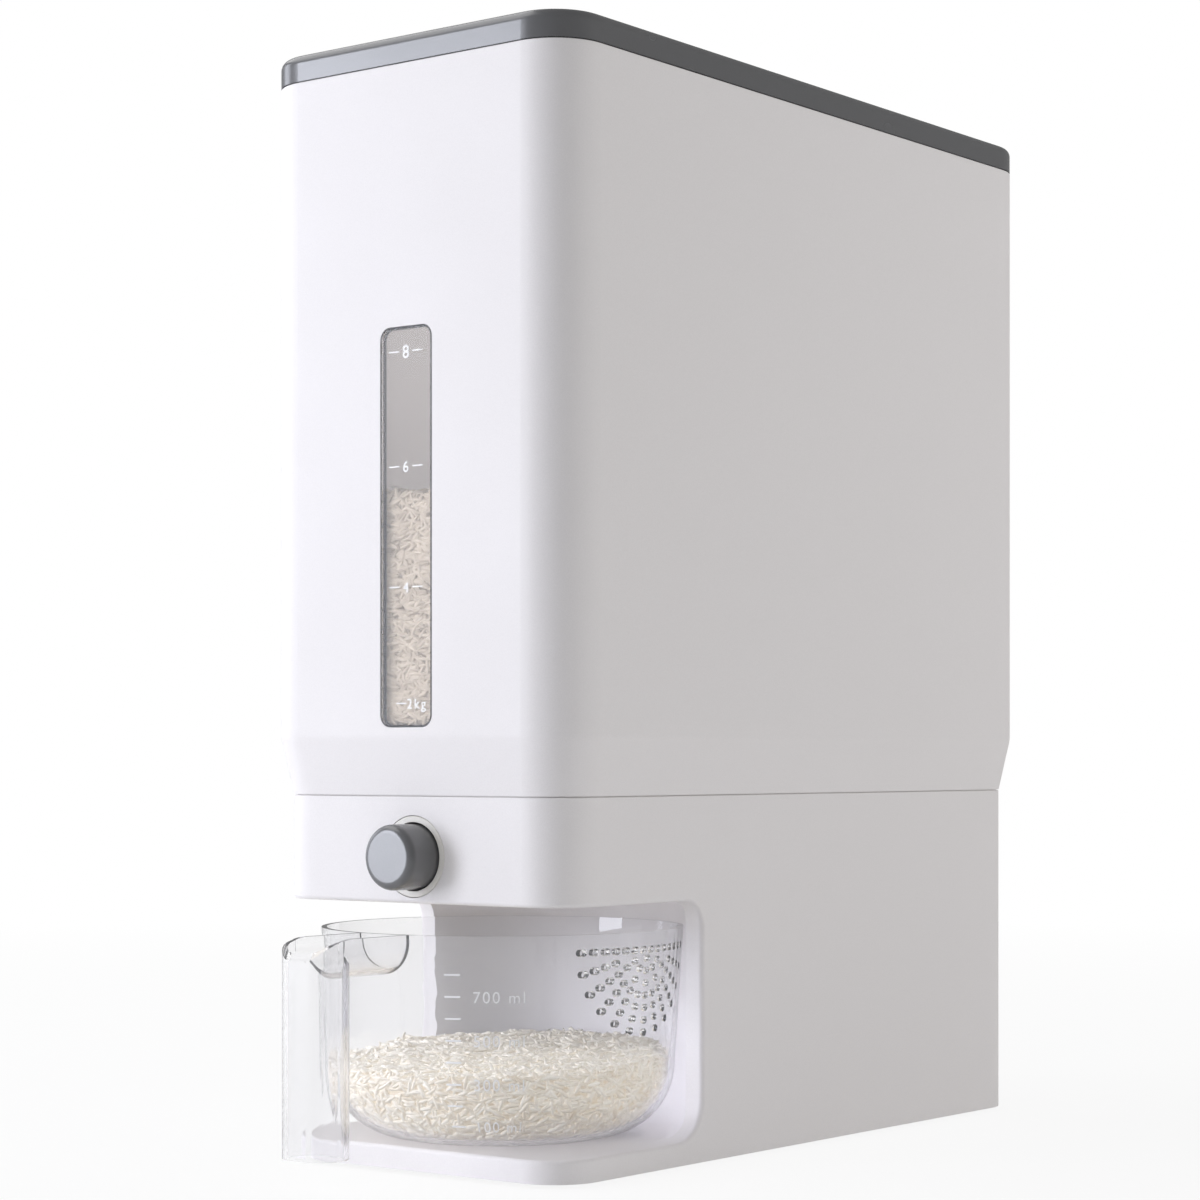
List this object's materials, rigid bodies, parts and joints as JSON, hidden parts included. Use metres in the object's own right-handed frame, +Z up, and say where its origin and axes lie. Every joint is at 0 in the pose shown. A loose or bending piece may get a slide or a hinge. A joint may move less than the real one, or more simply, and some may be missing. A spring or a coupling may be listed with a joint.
{
  "type": "rice dispenser",
  "caption": "Tall rice keeper with a lift-off lid and a sight window. A sprung push button opens a gate over a clear measuring cup that stands in an open bay.",
  "frame": {"origin": "on the ground, under the middle of the whole object's box, with the cup in its bay", "axes": "+Z up, +X to the right seen from the front, +Y from the front to the back"},
  "size_m": [0.15, 0.388, 0.4225],
  "materials": {
    "white_shell": "fine matt moulding, white",
    "grey_trim": "satin moulding, mid grey",
    "clear_plastic": "clear polished plastic",
    "inner_plastic": "plain natural moulding",
    "soft_seal": "soft silicone, pale grey",
    "rubber_foot": "matt rubber, grey",
    "bright_steel": "bright zinc",
    "print_white": "white printing ink",
    "rice_grain": "rice, the contents"
  },
  "bodies": {
    "root": {"base_housing": "white_shell", "bottom_plate": "white_shell", "bottom_plate_screws": "bright_steel", "hopper_shell": "white_shell", "hopper_screws": "bright_steel", "hopper_funnel": "inner_plastic", "outlet_seal": "soft_seal", "sight_window": "clear_plastic", "gate_housing": "inner_plastic", "gate_housing_cover": "inner_plastic", "gate_housing_screws": "bright_steel", "button_bezel": "white_shell", "return_spring": "bright_steel", "foot_front_left": "rubber_foot", "foot_front_right": "rubber_foot", "foot_rear_left": "rubber_foot", "foot_rear_right": "rubber_foot"},
    "button": {"button_cap": "grey_trim", "button_stem": "bright_steel", "gate_plate": "inner_plastic"},
    "lid": {"lid_cover": "grey_trim", "lid_liner": "inner_plastic", "lid_seal": "soft_seal"},
    "cup": {"measuring_cup": "clear_plastic"}
  },
  "joints": [
    {"name": "button_press", "type": "slide", "parent": "root", "child": "button", "axis": [0, 1, 0], "range_m": [0, 0.013], "stiffness_N_per_m": 500, "deforming": ["return_spring"]},
    {"name": "cup_pull", "type": "slide", "parent": "root", "child": "cup", "axis": [0, -1, 0], "range_m": [0, 0.16]},
    {"name": "lid_lift", "type": "slide", "parent": "root", "child": "lid", "axis": [0, 0, 1], "range_m": [0, 0.1]}
  ]
}
